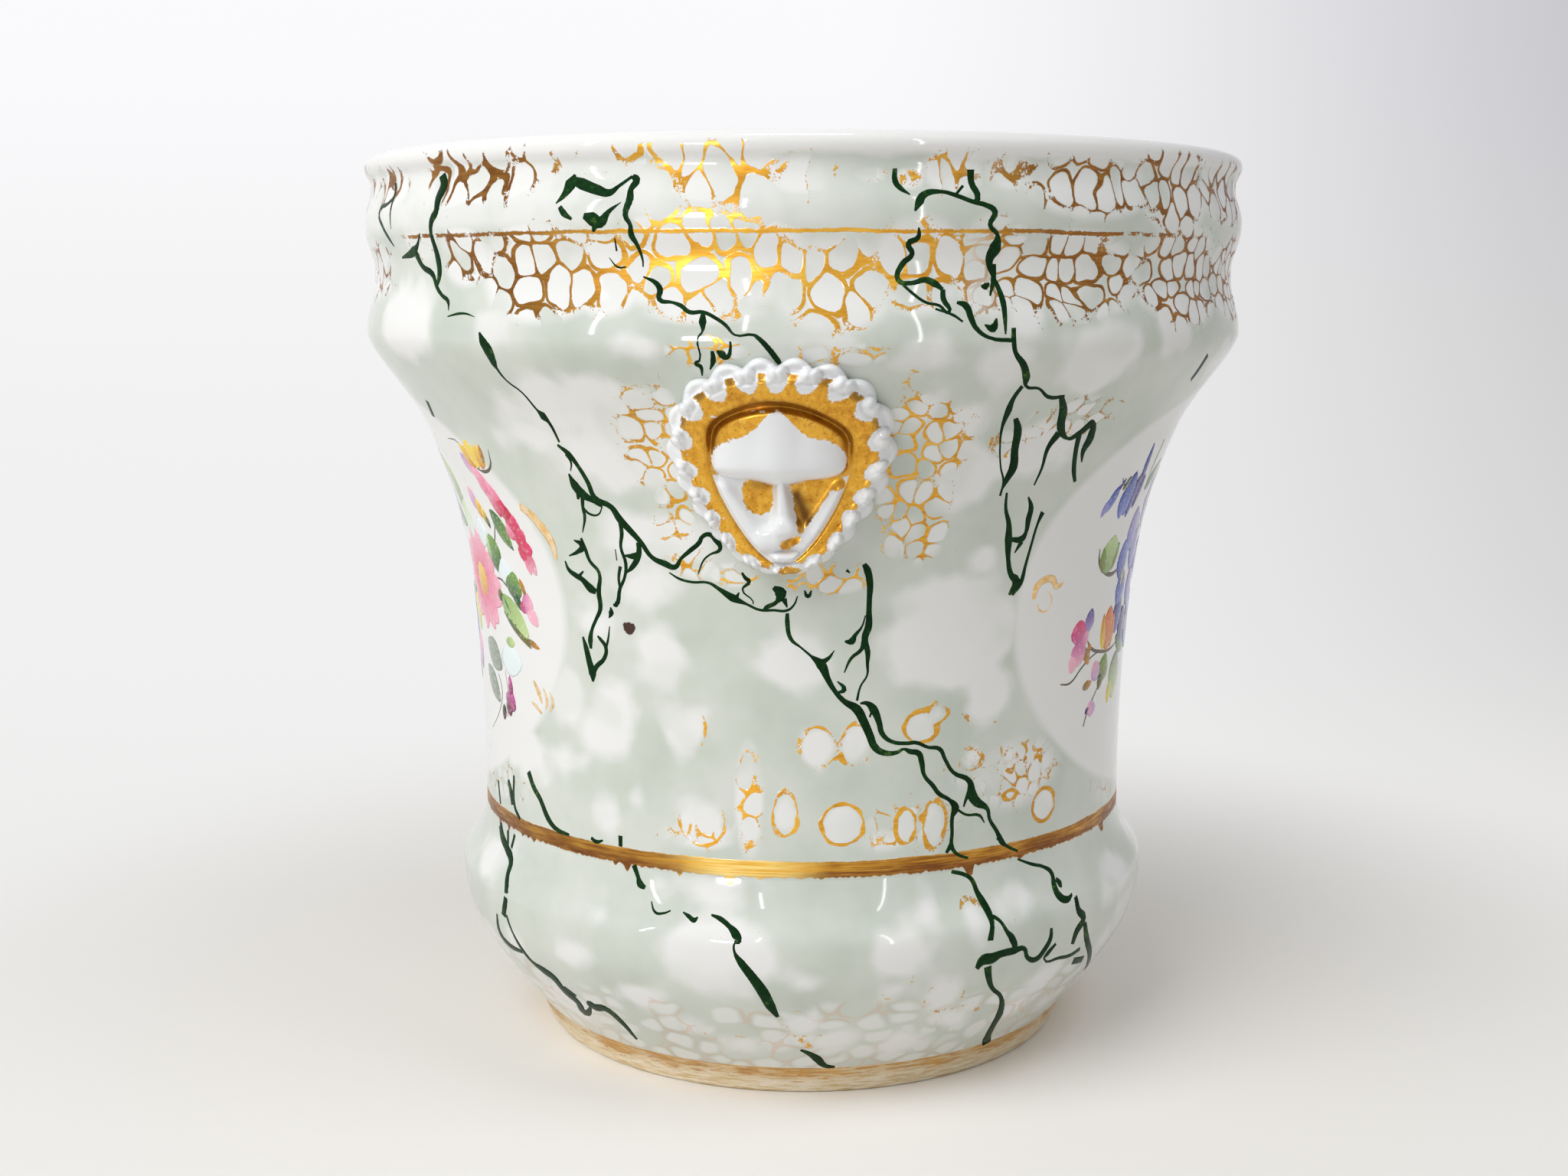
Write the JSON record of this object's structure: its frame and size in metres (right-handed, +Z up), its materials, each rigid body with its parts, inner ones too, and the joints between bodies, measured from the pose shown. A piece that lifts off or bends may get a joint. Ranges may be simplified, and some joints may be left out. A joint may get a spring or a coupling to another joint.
{
  "type": "porcelain planter",
  "caption": "Footed porcelain planter with a flared, moulded rim, a rounded lower bowl and applied relief masks, to hold a potted plant.",
  "frame": {"origin": "centre of the foot ring's resting face, on the pot's axis", "axes": "+Z up along the pot's axis, -Y towards the side with the front mask"},
  "size_m": [0.1694, 0.1724, 0.17],
  "materials": {
    "celadon_glaze": "gloss glaze, pale sage with white cells, gilded cell lines and green veins",
    "mask_glaze": "gloss white glaze with worn gilding",
    "foot_porcelain": "rubbed gilding over a bare cream edge"
  },
  "bodies": {
    "root": {"foot_ring": "foot_porcelain", "bulb_bowl": "celadon_glaze", "bell_wall": "celadon_glaze", "mask_front": "mask_glaze", "mask_back": "mask_glaze"}
  },
  "joints": []
}
